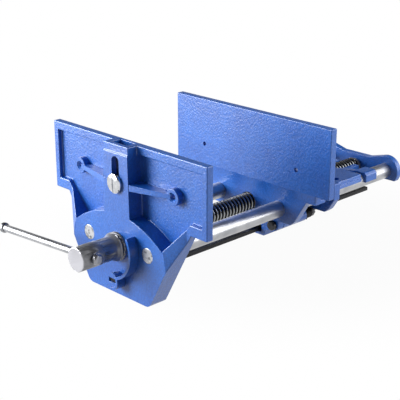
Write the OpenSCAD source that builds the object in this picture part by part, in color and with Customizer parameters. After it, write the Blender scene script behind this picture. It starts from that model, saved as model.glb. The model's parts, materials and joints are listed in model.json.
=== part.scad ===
// Quick-release woodworking vise, 9 inch class.
// X runs along the jaws, +Y to the rear under the bench, +Z up.
// The origin is in the middle plane, on the deck's top face, 65 mm behind the rear jaw's clamping face.

/* [Jaws] */
// Width of both jaws
jaw_w = 229; // [215:1:260]
// Height of the jaws' top edges above the deck's top face
jaw_rise = 83; // [76:1:100]
// Gap between the jaws as drawn
opening = 169; // [90:1:169]
// Thickness of the front jaw's wings
front_jaw_t = 8.4; // [7.6:0.2:12]
// Height of the front jaw's wings
wing_h = 73; // [68:1:78]
// Thickness of the rear jaw plate
rear_jaw_t = 9; // [7:0.5:14]
// Height of the rear jaw plate
rear_jaw_h = 76.5; // [70:0.5:80]
// Distance of the rear jaw's clamping face in front of the origin
origin_setback = 65; // [60:1:80]

/* [Front jaw casting] */
// Depth of the recessed panel behind the rims
recess_d = 4.6; // [3:0.2:5.2]
// Height of the top rim
top_rim = 9; // [6:0.5:14]
// Width of the side rims
side_rim = 7; // [4:0.5:12]
// Height of the rim along the wings' lower edges
wing_rim = 11.5; // [8:0.5:14]
// Distance the hub and the pillar stand proud of the rims
hub_proud = 12.4; // [11:0.2:16]
// Height of the whole front casting
hub_h = 158.2; // [152:0.5:180]
// Half width of the casting just below the wings
waist_half_w = 93; // [88:0.5:98]
// Half width of the casting at its foot
foot_half_w = 46.5; // [40:0.5:52]
// Radius of the foot's corners
foot_r = 9; // [3:0.5:14]
// Radius of the arch that tops the hub
arch_r = 107.5; // [100:0.5:120]
// Depth of the arch's crown below the jaw tops
arch_drop = 71; // [68:0.5:76]
// Half width of the pillar at the top
pillar_half_w = 18; // [17:0.5:24]
// Half width of the pillar at the arch
pillar_foot_half_w = 19.5; // [17.5:0.5:26]
// Height of the step at the top of the pillar's front
pillar_step_h = 8; // [3:0.5:10]
// Depth of the step at the top of the pillar's front
pillar_step_d = 1; // [0.5:0.1:2]

/* [Cheek screw holes] */
// Half the distance between the front jaw's two cheek screw bosses
boss_x = 70; // [60:1:85]
// Depth of the bosses below the jaw tops
boss_drop = 39.4; // [34:0.2:46]
// Radius of the bosses
boss_r = 8.5; // [6:0.5:11]
// Diameter of the countersinks in the bosses
boss_sink_d = 9.5; // [7:0.5:11]
// Height of the bosses above the recessed panel
boss_h = 6.6; // [4:0.2:8]
// Height of the gusset ribs at the pillar
rib_h = 6.5; // [4:0.5:9]
// Height of the gusset ribs at the bosses
rib_tip_h = 4.4; // [2:0.2:6]
// Diameter of the cheek screw holes in both jaws
cheek_hole_d = 5; // [4:0.5:6.5]
// Half the distance between the rear jaw's two cheek screw holes
rear_hole_x = 69; // [60:1:90]
// Depth of the rear jaw's cheek screw holes below the jaw top
rear_hole_drop = 52.8; // [40:0.2:60]

/* [Dog] */
// Width of the sliding dog
dog_w = 22; // [18:0.5:26]
// Thickness of the sliding dog
dog_t = 10.4; // [9:0.2:11]
// Length of the sliding dog
dog_h = 50; // [46:1:53]
// Depth of the dog's top below the jaw tops when it is down
dog_drop = 8; // [4:0.5:10]
// Running gap round the dog in its pocket
dog_gap = 0.2; // [0.1:0.05:0.4]
// Wall of the pillar in front of the dog
dog_front_wall = 6; // [4.5:0.5:6.5]
// Travel of the dog
dog_travel = 22; // [14:1:23]
// Diameter of the dog screw's shank
dog_screw_d = 10; // [8:0.5:11]
// Depth of the dog screw below the jaw tops when the dog is down
dog_screw_drop = 39.5; // [36:0.5:42]
// Gap round the dog screw in the pillar's slot
dog_slot_gap = 0.5; // [0.3:0.1:1]
// Radius of the dog screw's head
dog_head_r = 10; // [8:0.5:12]
// Thickness of the dog screw's head
dog_head_t = 4; // [3:0.5:6]
// Width of the driver slot in the dog screw's head
driver_slot_w = 2; // [1:0.2:3]
// Depth of the driver slot in the dog screw's head
driver_slot_d = 1.6; // [1:0.2:2.4]

/* [Guide rods] */
// Diameter of the two guide rods
rod_d = 18.4; // [16:0.2:20]
// Diameter of the rods' turned-down ends in the front casting
rod_end_d = 16; // [12:0.5:16]
// Depth of the counterbores that the rods' shoulders seat in
rod_seat_d = 3; // [1:0.5:5]
// Distance between the rods' axes
rod_span = 89.7; // [86:0.1:94]
// Depth of the rods' axes below the deck's top face
rod_drop = 20.2; // [18.5:0.1:22]
// Radial clearance of the rods that slide in the rear casting
rod_clear = 0.06; // [0.02:0.01:0.1]
// Radial clearance of what is seated and fixed in a bore
seat_clear = 0.03; // [0.01:0.01:0.05]

/* [Screw] */
// Outer diameter of the thread
screw_d = 20; // [18:0.2:22]
// Depth of the screw's axis below the deck's top face
screw_drop = 22.5; // [22:0.1:25]
// Diameter of the journal that turns in the front jaw
journal_d = 22.4; // [20:0.2:24]
// Radial clearance of the journal
journal_clear = 0.05; // [0.02:0.01:0.1]
// Radius of the thrust flange in front of the hub
flange_r = 15; // [13.5:0.5:17]
// Radius of the screw's head
head_r = 12.5; // [11:0.5:14]
// Length of the head in front of the hub
head_l = 52.5; // [46:0.5:70]
// Radius of the tail that turns in the rear yoke
tail_r = 8; // [6:0.5:9]
// Radius of the thrust collar behind the hub
collar_r = 16; // [14.5:0.5:18]
// Thickness of the thrust collar
collar_t = 7; // [5:0.5:8]
// Depth of the counterbore that holds the thrust collar
collar_bore_d = 10; // [9:0.5:12]
// Diameter of the pin through the thrust collar
collar_pin_d = 4; // [3:0.5:4.5]

/* [Tommy bar] */
// Diameter of the tommy bar
bar_d = 8; // [7:0.5:9]
// Distance of the bar's far end from the screw's axis as drawn
bar_reach = 147; // [110:1:170]
// Radius of the end knobs
knob_r = 5.6; // [5:0.2:8]
// Length of the end knobs
knob_l = 6; // [4:0.5:10]
// Distance of the bar's axis behind the head's front face
bar_set_in = 14.5; // [10:0.5:18]
// Tilt of the bar as drawn, left end down
bar_tilt = 4; // [0:1:30]
// Radial clearance of the bar in the head
bar_clear = 0.15; // [0.1:0.05:0.4]

/* [Quick release] */
// Width of the flat trip bar
trip_w = 12; // [10:0.5:13]
// Thickness of the flat trip bar
trip_t = 4.5; // [3:0.25:5]
// Offset of the trip bar's axis from the screw's axis along X
trip_x = 1.5; // [0:0.5:3]
// Depth of the trip bar's axis below the deck's top face
trip_drop = 57.2; // [55:0.2:58]
// Distance the trip bar runs out behind the yoke
trip_tail = 11; // [6:1:30]
// Radial clearance of the trip bar's corners in the round hole that carries it
trip_clear = 0.25; // [0.15:0.05:0.4]
// Inner radius of the release lever's curved arm, about the screw's axis
lever_r = 29.5; // [28.5:0.5:31]
// Thickness of the release lever's arm
lever_t = 3; // [2:0.5:4]
// Depth of the release lever's arm
lever_d = 10.8; // [8:0.2:14]
// Angle of the arm's upper end above the screw's axis
lever_top_a = 31; // [20:1:40]
// Angle of the arm's lower end below the screw's axis
lever_low_a = 74; // [68:1:78]
// Radius of the lever's boss round the trip bar
lever_boss_r = 7.8; // [7.6:0.2:8.4]
// Diameter of the pins that hold the lever and the trip bar
trip_pin_d = 3; // [2:0.25:3.5]

/* [Half nut] */
// Offset of the carrier's pivot from the screw's axis along X
pivot_x = 38; // [37:0.5:40]
// Depth of the carrier's pivot below the deck's top face
pivot_drop = 41; // [40.5:0.5:42]
// Diameter of the pivot bolt's shank
pivot_d = 8; // [6.5:0.5:9]
// Diameter of the pivot bolt's threaded end
pivot_end_d = 6; // [4:0.5:6]
// Radius of the pivot bolt's head
pivot_head_r = 5.5; // [5:0.25:7]
// Thickness of the pivot bolt's head
pivot_head_t = 5; // [3:0.5:7]
// Radial clearance of the carrier on the pivot bolt
pivot_clear = 0.05; // [0.02:0.01:0.1]
// Width of the half nut
nut_w = 24; // [22:1:26]
// Length of the half nut along the screw
nut_l = 34; // [26:1:38]
// Half angle of the thread that the half nut wraps
nut_wrap_a = 58; // [50:1:60]
// Thickness of the half nut below the thread
nut_t = 4.5; // [4:0.5:5]
// End play of the carrier between the webs
carrier_play = 0.4; // [0.3:0.1:1]
// Wire diameter of the carrier's torsion spring
spring_wire = 1.8; // [1.2:0.1:2]
// Number of turns of the torsion spring
spring_turns = 4; // [3:1:5]
// Diameter of the half nut's two screws
nut_screw_d = 4; // [3:0.5:5]

/* [Rear casting] */
// Thickness of the deck under the bench
deck_t = 9; // [7:0.5:9.5]
// Half width of the deck
deck_half_w = 72; // [70:1:80]
// Distance that the deck's sides are set back above the lip
deck_step = 1.4; // [0.4:0.2:2]
// Height of the lip along the deck's lower edge
deck_lip = 4.5; // [3:0.5:6]
// Length of the deck behind the clamping face
deck_l = 113.5; // [106:0.5:124]
// Half width of the shoulder behind the rear jaw
shoulder_half_w = 96; // [88:1:104]
// Length of the shoulder behind the clamping face
shoulder_l = 26; // [22:1:36]
// Thickness of the shoulder
shoulder_t = 4; // [3:0.5:9]
// Thickness of the two webs, the rear wall and the bridge
web_t = 10; // [7:0.5:11]
// Distance of the middle web's front face behind the clamping face
mid_web_y = 62.6; // [56:0.2:66]
// Radius of the webs' lobes round the rods
lobe_r = 14.8; // [13:0.2:16]
// Radius of the ears round the pivot bolt
ear_r = 7.4; // [6.5:0.2:9]
// Half width of the rear wall between the rods
wall_half_w = 31; // [27:0.5:34]
// Distance of the rod saddles' outer sides from the rods' axes
saddle_out = 12.2; // [11:0.2:14]
// Height of the rod saddles above the rods' axes
saddle_rise = 11.2; // [11:0.2:14]
// Depth of the rod saddles below the rods' axes
saddle_low = 0.6; // [0:0.2:6]
// Length of the rod saddles
saddle_l = 21; // [16:1:30]
// Reach of the rod saddles behind the clamping face
saddle_end = 163.8; // [160:0.2:170]
// Reach of the screw trough behind the clamping face
trough_end = 180; // [166:1:181]
// Half width of the screw trough
trough_half_w = 18.5; // [16:0.5:24]
// Height of the screw trough's walls above the screw's axis
trough_rise = 7; // [4:0.5:10]
// Clearance round the screw where it only passes through
screw_pass = 1; // [0.5:0.1:2]
// Diameter of the bench bolt holes
bench_hole_d = 9; // [7:0.5:11]
// Distance between the bench bolt holes along X
bench_hole_x = 121; // [119:1:126]
// Distance between the bench bolt holes along Y
bench_hole_y = 60; // [56:1:61]
// Distance of the middle of the bench bolt holes in front of the origin
bench_hole_set = 16; // [15:0.5:16.5]

/* [Rear yoke] */
// Gap between the trough's end and the yoke as drawn
yoke_gap = 16.6; // [14:0.2:30]
// Thickness of the yoke
yoke_t = 8; // [6:0.5:12]
// Radius of the yoke's lobes
yoke_lobe_r = 18.4; // [16:0.2:22]
// Height of the yoke's waist above the rods' axes
yoke_waist_rise = 12.4; // [10:0.2:16]
// Depth of the yoke's flat underside below the rods' axes
yoke_low = 10.8; // [10:0.2:16]
// Diameter of the pins that lock the rods in the yoke
yoke_pin_d = 4; // [3:0.5:5]

/* [Hidden] */
$fn = 96;
blue = [0.12, 0.27, 0.72];
steel = [0.72, 0.73, 0.75];
bright = [0.85, 0.86, 0.88];
dark = [0.10, 0.10, 0.11];
eps = 0.01;
far = 400;

// Planes along Y: clamping faces, rims, hub front, and where the rear parts begin and end
face_y = -origin_setback;
back_y = face_y - opening;
rim_y = back_y - front_jaw_t;
hub_y = rim_y - hub_proud;
floor_y = rim_y + recess_d;
web_y = face_y + 1;
mid_y = face_y + mid_web_y;
wall_end_y = face_y + deck_l;
rear_end_y = face_y + max(saddle_end, trough_end);
yoke_front_y = rear_end_y + yoke_gap;
yoke_back_y = yoke_front_y + yoke_t;

// Heights
rod_z = -rod_drop;
screw_z = -screw_drop;
yoke_foot_z = rod_z - yoke_low;
trip_z = -trip_drop;
pivot_z = -pivot_drop;
foot_z = jaw_rise - hub_h;
wing_z = jaw_rise - wing_h;
rod_x = rod_span / 2;
rod_r = rod_d / 2;
rod_end_r = rod_end_d / 2;
screw_r = screw_d / 2;

// The side of the front casting runs straight from the waist to the foot
function side_x(z) = foot_half_w + (waist_half_w - foot_half_w) * (z - foot_z) / (wing_z - foot_z);
// Radius that the flat trip bar sweeps as it turns
trip_sweep_r = sqrt(trip_w * trip_w + trip_t * trip_t) / 2;
trip_hole_r = trip_sweep_r + trip_clear;
// The screw's head, from the hub's face forwards
head_y = hub_y - head_l;
bar_y = head_y + bar_set_in;
bar_knob_gap = 0.4;
// Dog and its pocket
pocket_y = hub_y + dog_front_wall;
pocket_d = dog_t + 2 * dog_gap;
dog_top_z = jaw_rise - dog_drop;
dog_screw_z = jaw_rise - dog_screw_drop;
dog_hole_y = pocket_y + dog_gap + dog_t - 2;
slot_r = dog_screw_d / 2 + dog_slot_gap;
// Carrier between the front web and the middle web
carrier_y0 = web_y + web_t + carrier_play;
carrier_y1 = mid_y - carrier_play;
spring_pitch = spring_wire + 0.5;
spring_l = spring_turns * spring_pitch;
spring_end_gap = 0.5;
carrier_back_y = carrier_y1 - spring_l - spring_wire - 2 * spring_end_gap;
nut_mid_y = (carrier_y0 + carrier_back_y) / 2;
nut_seat_gap = 0.05;
nut_screw_x = -nut_w / 2 + 4;
nut_top_z = screw_z - (screw_r + rod_clear) * cos(nut_wrap_a);
nut_foot_z = screw_z - screw_r - nut_t;
seat_z = nut_foot_z - nut_seat_gap;
carrier_hub_r = pivot_d / 2 + 3.4;
carrier_floor = 5;
carrier_hook_t = 4;
hook_gap = 0.35;
// Torsion spring beside the carrier's hub
spring_r = pivot_d / 2 + 0.5 + spring_wire / 2;
spring_leg = 5;
spring_steps = 24;
spring_sides = 6;
spring_count = spring_turns * spring_steps;
// Corner where the recessed panel's edge meets the hub's arch, and the arch's centre
corner_drop = 93.4;
corner_z = jaw_rise - corner_drop;
arch_z = jaw_rise - arch_drop - arch_r;
corner_x = sqrt(arch_r * arch_r - pow(corner_z - arch_z, 2));
// Crease where a slanted rim's ramp leaves the hub's face
crease_x = 67.4;
crease_z = jaw_rise - 94;
crease_tilt = 12;
crease_l = 120;
// Thrust collar in its counterbore, and the pins through the trip bar
collar_gap = 0.3;
collar_y = back_y - collar_bore_d + collar_gap;
lever_back_y = hub_y - 0.3;
lever_pin_y = lever_back_y - 4;
trip_pin_y = back_y - 3.6;
trip_bore_d = 5.5;
// Tommy bar's right-hand knob rests just outside the head
knob_in = head_r + bar_knob_gap;
knob_floor = 1.1;

// Extrudes a front-view outline, X across and Z up, from y0 back to y1
module slab(y0, y1) {
    translate([0, y1, 0]) rotate([90, 0, 0]) linear_extrude(y1 - y0) children();
}

// A cylinder along Y from y0 to y1
module rod_y(r, x, z, y0, y1) {
    translate([x, y0, z]) rotate([-90, 0, 0]) cylinder(r = r, h = y1 - y0);
}

// A copy on each side of the middle plane
module both_sides() {
    children();
    mirror([1, 0, 0]) children();
}

// Front casting, seen from the front, with the foot's corners as arcs tangent to the sides and the foot
module casting_outline() {
    lean = (waist_half_w - foot_half_w) / (wing_z - foot_z);
    run = sqrt(1 + lean * lean);
    arc_x = side_x(foot_z + foot_r) - foot_r * run;
    tangent_x = arc_x + foot_r / run;
    tangent_z = foot_z + foot_r - foot_r * lean / run;
    polygon([
        [-jaw_w / 2, jaw_rise], [jaw_w / 2, jaw_rise], [jaw_w / 2, wing_z], [waist_half_w, wing_z],
        [tangent_x, tangent_z], [arc_x, foot_z], [-arc_x, foot_z], [-tangent_x, tangent_z],
        [-waist_half_w, wing_z], [-jaw_w / 2, wing_z]
    ]);
    for (s = [-1, 1]) translate([s * arc_x, foot_z + foot_r]) circle(r = foot_r);
}

// The panel's recess, seen from the front
module recess_outline() {
    polygon([
        [-jaw_w / 2 + side_rim, jaw_rise - top_rim], [jaw_w / 2 - side_rim, jaw_rise - top_rim],
        [jaw_w / 2 - side_rim, wing_z + wing_rim], [waist_half_w - 1, wing_z + wing_rim],
        [corner_x, corner_z], [-corner_x, corner_z],
        [-waist_half_w + 1, wing_z + wing_rim], [-jaw_w / 2 + side_rim, wing_z + wing_rim]
    ]);
}

// Wedge of air in front of a slanted rim, which ramps from the wing's rim up to the hub's face
module ramp_cut() {
    translate([crease_x, 0, crease_z]) rotate([0, -crease_tilt, 0]) translate([-crease_x, 0, -crease_l / 2])
        linear_extrude(crease_l) polygon([
            [crease_x, hub_y], [waist_half_w - 1, rim_y], [jaw_w, rim_y], [jaw_w, hub_y - 5],
            [crease_x - 0.5, hub_y - 5]
        ]);
}

// Gusset rib from the pillar out to a boss, tapering in height and depth
module gusset() {
    rib_z = jaw_rise - boss_drop - 1;
    intersection() {
        slab(hub_y, floor_y + eps) polygon([
            [pillar_half_w - 1, rib_z + rib_h / 2], [boss_x, rib_z + 1 + rib_tip_h / 2],
            [boss_x, rib_z + 1 - rib_tip_h / 2], [pillar_half_w - 1, rib_z - rib_h / 2]
        ]);
        linear_extrude(jaw_rise) polygon([
            [pillar_half_w - 1, hub_y + 0.4], [pillar_half_w + 1, hub_y + 0.4],
            [boss_x, floor_y - boss_h + 0.3], [boss_x, floor_y + 1], [pillar_half_w - 1, floor_y + 1]
        ]);
    }
}

module front_jaw() {
    step_z = jaw_rise - pillar_step_h;
    boss_z = jaw_rise - boss_drop;
    sink_h = (boss_sink_d - cheek_hole_d) / 2;
    color(blue) difference() {
        union() {
            // thin panel, then the rims round it
            slab(floor_y, back_y) casting_outline();
            slab(rim_y, floor_y + eps) difference() {
                casting_outline();
                recess_outline();
            }
            // hub below the arch with its two slanted rims
            difference() {
                slab(hub_y, floor_y + eps) intersection() {
                    casting_outline();
                    union() {
                        difference() {
                            translate([0, arch_z]) circle(r = arch_r, $fn = 180);
                            translate([-jaw_w, corner_z]) square([jaw_w - corner_x, far]);
                            translate([corner_x, corner_z]) square([jaw_w, far]);
                        }
                        for (s = [-1, 1]) polygon([
                            [s * (waist_half_w - 1), wing_z + wing_rim], [s * corner_x, corner_z],
                            [s * corner_x, corner_z - 20], [s * jaw_w / 2, wing_z - 40],
                            [s * waist_half_w, wing_z + wing_rim]
                        ]);
                    }
                }
                both_sides() ramp_cut();
            }
            // pillar, with its front set back a little at the top
            difference() {
                slab(hub_y, floor_y + eps) polygon([
                    [-pillar_half_w, jaw_rise], [pillar_half_w, jaw_rise],
                    [pillar_foot_half_w, jaw_rise - arch_drop - 3], [-pillar_foot_half_w, jaw_rise - arch_drop - 3]
                ]);
                translate([-jaw_w / 2, 0, 0]) rotate([90, 0, 90]) linear_extrude(jaw_w) polygon([
                    [hub_y - 1, step_z - pillar_step_d], [hub_y, step_z - pillar_step_d],
                    [hub_y + pillar_step_d, step_z], [hub_y + pillar_step_d, jaw_rise + eps],
                    [hub_y - 1, jaw_rise + eps]
                ]);
            }
            both_sides() rod_y(boss_r, boss_x, boss_z, floor_y - boss_h, floor_y + eps);
            both_sides() gusset();
        }
        // pocket for the dog, open at the top, and the slot for its screw
        translate([-dog_w / 2 - dog_gap, pocket_y, dog_top_z - dog_h - 2])
            cube([dog_w + 2 * dog_gap, pocket_d, dog_h + dog_drop + 2 + eps]);
        translate([-slot_r, hub_y - 1, dog_screw_z])
            cube([2 * slot_r, dog_front_wall + 1 + eps, dog_travel]);
        for (z = [dog_screw_z, dog_screw_z + dog_travel])
            rod_y(slot_r, 0, z, hub_y - 1, pocket_y + eps);
        // shallow scribed line beside the dog screw
        translate([-pillar_half_w - 1.2, hub_y - eps, boss_z + 1.6]) cube([10, 0.8, 1.2]);
        // bores for the screw, the collar, the rods, the trip bar and the cheek screws
        rod_y(journal_d / 2 + journal_clear, 0, screw_z, hub_y - 1, back_y + 1);
        rod_y(collar_r + 1, 0, screw_z, back_y - collar_bore_d, back_y + 1);
        both_sides() rod_y(rod_end_r + seat_clear, rod_x, rod_z, hub_y - 1, back_y + 1);
        both_sides() rod_y(rod_r + seat_clear, rod_x, rod_z, back_y - rod_seat_d, back_y + 1);
        rod_y(trip_hole_r, trip_x, trip_z, hub_y - 1, back_y + 1);
        rod_y(trip_hole_r + 1.8, trip_x, trip_z, back_y - trip_bore_d, back_y + 1);
        both_sides() rod_y(cheek_hole_d / 2, boss_x, boss_z, hub_y, back_y + 1);
        both_sides() translate([boss_x, floor_y - boss_h - eps, boss_z]) rotate([-90, 0, 0])
            cylinder(r1 = boss_sink_d / 2, r2 = cheek_hole_d / 2, h = sink_h);
        // relief behind the hub for the pivot bolt's head when the jaws close
        rod_y(pivot_head_r + 1.5, pivot_x, pivot_z, back_y - pivot_head_t - 1, back_y + 1);
    }
}

module dog() {
    edge_bevel = 2.6;
    color(steel) difference() {
        translate([-dog_w / 2, pocket_y + dog_gap, dog_top_z - dog_h]) cube([dog_w, dog_t, dog_h]);
        translate([-dog_w / 2 - 1, pocket_y + dog_gap - 1, dog_top_z])
            rotate([0, 90, 0]) rotate(45) cube([edge_bevel, edge_bevel, dog_w + 2]);
        rod_y(dog_screw_d / 2 + seat_clear, 0, dog_screw_z, pocket_y, dog_hole_y);
    }
}

module dog_screw() {
    head_back_y = hub_y - 0.2;
    dome_h = 0.9;
    shank_l = dog_hole_y - 0.2 - head_back_y;
    color(bright) difference() {
        translate([0, head_back_y, dog_screw_z]) rotate([90, 0, 0]) rotate_extrude() polygon([
            [0, -shank_l], [dog_screw_d / 2, -shank_l], [dog_screw_d / 2, 0], [dog_head_r - 0.6, 0],
            [dog_head_r, 0.6],
            [dog_head_r, dog_head_t - dome_h - 0.6], [dog_head_r - 1.2, dog_head_t - dome_h + 0.2],
            [dog_head_r * 0.55, dog_head_t - 0.15], [0, dog_head_t]
        ]);
        translate([-driver_slot_w / 2, head_back_y - dog_head_t - 1, dog_screw_z - dog_head_r - 1])
            cube([driver_slot_w, driver_slot_d + 1, 2 * dog_head_r + 2]);
    }
}

module guide_rod(side) {
    bevel = 0.8;
    rod_l = yoke_back_y - hub_y;
    seat_l = back_y - rod_seat_d - hub_y + 0.05;
    color(bright) difference() {
        translate([side * rod_x, hub_y, rod_z]) rotate([-90, 0, 0]) rotate_extrude() polygon([
            [0, 0], [rod_end_r - bevel / 2, 0], [rod_end_r, bevel / 2], [rod_end_r, seat_l],
            [rod_r - bevel / 2, seat_l], [rod_r, seat_l + bevel / 2], [rod_r, rod_l - bevel],
            [rod_r - bevel, rod_l], [0, rod_l]
        ]);
        translate([side * rod_x, yoke_front_y + yoke_t / 2, rod_z - rod_r - 1])
            cylinder(d = yoke_pin_d + 2 * seat_clear, h = rod_d + 2);
    }
}

module guide_rod_left() { guide_rod(-1); }
module guide_rod_right() { guide_rod(1); }

// Screw profile, radius against distance behind the head's front face
module main_screw() {
    neck_y = head_l - 25.5;
    tail_end = yoke_back_y + 3 - head_y;
    thread_y = back_y - collar_bore_d - head_y;
    tail_y = yoke_front_y - 4 - head_y;
    color(steel) difference() {
        translate([0, head_y, screw_z]) rotate([-90, 0, 0]) rotate_extrude() polygon([
            [0, 0], [head_r - 0.8, 0], [head_r, 0.8], [head_r, neck_y - 0.5], [head_r - 0.4, neck_y],
            [head_r - 0.4, head_l - 11], [head_r + 0.6, head_l - 9], [flange_r - 0.8, head_l - 7],
            [flange_r, head_l - 5.5], [flange_r - 0.4, head_l - 4.4], [flange_r - 1.6, head_l - 4.2],
            [flange_r - 1.6, head_l - 3.4], [flange_r, head_l - 3.2], [flange_r, head_l - 0.3],
            [journal_d / 2, head_l - 0.3], [journal_d / 2, thread_y], [screw_r, thread_y],
            [screw_r, tail_y - 1.5], [screw_r - 1.5, tail_y], [tail_r, tail_y],
            [tail_r, tail_end - 1], [tail_r - 1, tail_end], [0, tail_end]
        ]);
        translate([0, bar_y, screw_z]) rotate([0, -bar_tilt, 0]) rotate([0, 90, 0])
            cylinder(r = bar_d / 2 + bar_clear, h = 3 * head_r, center = true);
        translate([0, collar_y + collar_t / 2, screw_z])
            cylinder(d = collar_pin_d + 2 * seat_clear, h = 3 * screw_d, center = true);
    }
}

module thrust_collar() {
    color(steel) difference() {
        translate([0, collar_y, screw_z]) rotate([-90, 0, 0]) rotate_extrude() polygon([
            [screw_r + seat_clear, 0], [collar_r, 0], [collar_r, collar_t - 1], [collar_r - 1, collar_t],
            [screw_r + seat_clear, collar_t]
        ]);
        translate([0, collar_y + collar_t / 2, screw_z])
            cylinder(d = collar_pin_d + 2 * seat_clear, h = 3 * collar_r, center = true);
    }
}

module collar_pin() {
    color(steel) translate([0, collar_y + collar_t / 2, screw_z])
        cylinder(d = collar_pin_d, h = 2 * collar_r - 1, center = true);
}

// Places its children on the tommy bar's axis, with Z towards the right-hand end
module along_bar() {
    translate([0, bar_y, screw_z]) rotate([0, -bar_tilt, 0]) rotate([0, 90, 0]) children();
}

module tommy_bar() {
    left = -bar_reach + knob_floor + 0.1;
    right = knob_in + knob_l - knob_floor - 0.1;
    color(bright) along_bar() translate([0, 0, left]) cylinder(d = bar_d, h = right - left);
}

// Knob on the bar's end, with a blind hole that the bar seats in
module bar_knob() {
    color(bright) rotate_extrude() polygon([
        [0, 0], [knob_r - 1.6, 0], [knob_r - 0.4, 0.9], [knob_r, 2], [knob_r, knob_l - 1.2], [knob_r - 1, knob_l],
        [bar_d / 2 + seat_clear, knob_l], [bar_d / 2 + seat_clear, knob_floor], [0, knob_floor]
    ]);
}

module bar_knob_left() {
    along_bar() translate([0, 0, -bar_reach]) bar_knob();
}

module bar_knob_right() {
    along_bar() translate([0, 0, knob_in + knob_l]) rotate([180, 0, 0]) bar_knob();
}

// A curved bar of rectangular section about an axis along Y, from angle a0 to a1 above +X
module bent_bar(x, z, r, t, a0, a1, y0, y1) {
    translate([x, y1, z]) rotate([90, 0, 0]) rotate([0, 0, a0])
        rotate_extrude(angle = a1 - a0) translate([r, 0]) square([t, y1 - y0]);
}

module release_lever() {
    front_y = lever_back_y - lever_d;
    tip_r = lever_r + lever_t / 2;
    root_in = 0.8;
    root_out = 1.8;
    root_low_a = 98;
    root_top_a = 50;
    step = 0.4;
    color(blue) difference() {
        union() {
            // curved arm about the screw's axis, with a rounded tip
            bent_bar(0, screw_z, lever_r, lever_t, -lever_low_a, lever_top_a, front_y, lever_back_y);
            rod_y(lever_t / 2 + 0.25, tip_r * cos(lever_top_a), screw_z + tip_r * sin(lever_top_a),
                front_y + step, lever_back_y);
            // boss round the trip bar, and the arm's root that wraps it
            rod_y(lever_boss_r, trip_x, trip_z, front_y + 2.5, lever_back_y);
            bent_bar(trip_x, trip_z, lever_boss_r - root_in, root_in + root_out, -root_low_a, root_top_a,
                front_y + step, lever_back_y);
        }
        slab(front_y - 1, lever_back_y + 1) translate([trip_x, trip_z])
            square([trip_w + 2 * seat_clear, trip_t + 2 * seat_clear], center = true);
        translate([trip_x, lever_pin_y, trip_z])
            cylinder(d = trip_pin_d + 2 * seat_clear, h = 3 * lever_boss_r, center = true);
    }
}

module trip_bar() {
    bar_front = lever_back_y - lever_d + 4;
    bar_back = yoke_back_y + trip_tail;
    color(dark) difference() {
        slab(bar_front, bar_back) translate([trip_x, trip_z]) square([trip_w, trip_t], center = true);
        for (y = [lever_pin_y, trip_pin_y]) translate([trip_x, y, trip_z])
            cylinder(d = trip_pin_d + 2 * seat_clear, h = trip_w, center = true);
    }
}

module lever_pin() {
    color(steel) translate([trip_x, lever_pin_y, trip_z])
        cylinder(d = trip_pin_d, h = 2 * lever_boss_r - 2, center = true);
}

module trip_bar_pin() {
    color(steel) translate([trip_x, trip_pin_y, trip_z])
        cylinder(d = trip_pin_d, h = 2 * trip_hole_r + 1.6, center = true);
}

// Web below the deck with a lobe round each rod, seen from the front
module web_outline(shoulder_x, side_z, lobe_x, foot_drop) {
    foot = -foot_drop;
    polygon([
        [-shoulder_x, 0], [shoulder_x, 0], [shoulder_x, side_z], [lobe_x, foot + 4], [lobe_x - 5, foot],
        [rod_x - 2, foot], [rod_x - lobe_r * 0.7, foot + 3.5], [rod_x - lobe_r - 2, foot + 5.5],
        [-rod_x + lobe_r + 2, foot + 5.5], [-rod_x + lobe_r * 0.7, foot + 3.5], [-rod_x + 2, foot],
        [-lobe_x + 5, foot], [-lobe_x, foot + 4], [-shoulder_x, side_z]
    ]);
}

// Ear that hangs below a web round the pivot bolt, seen from the front
module pivot_ear() {
    translate([pivot_x, pivot_z]) circle(r = ear_r);
    translate([pivot_x - ear_r, pivot_z]) square([2 * ear_r, rod_z - pivot_z]);
}

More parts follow.
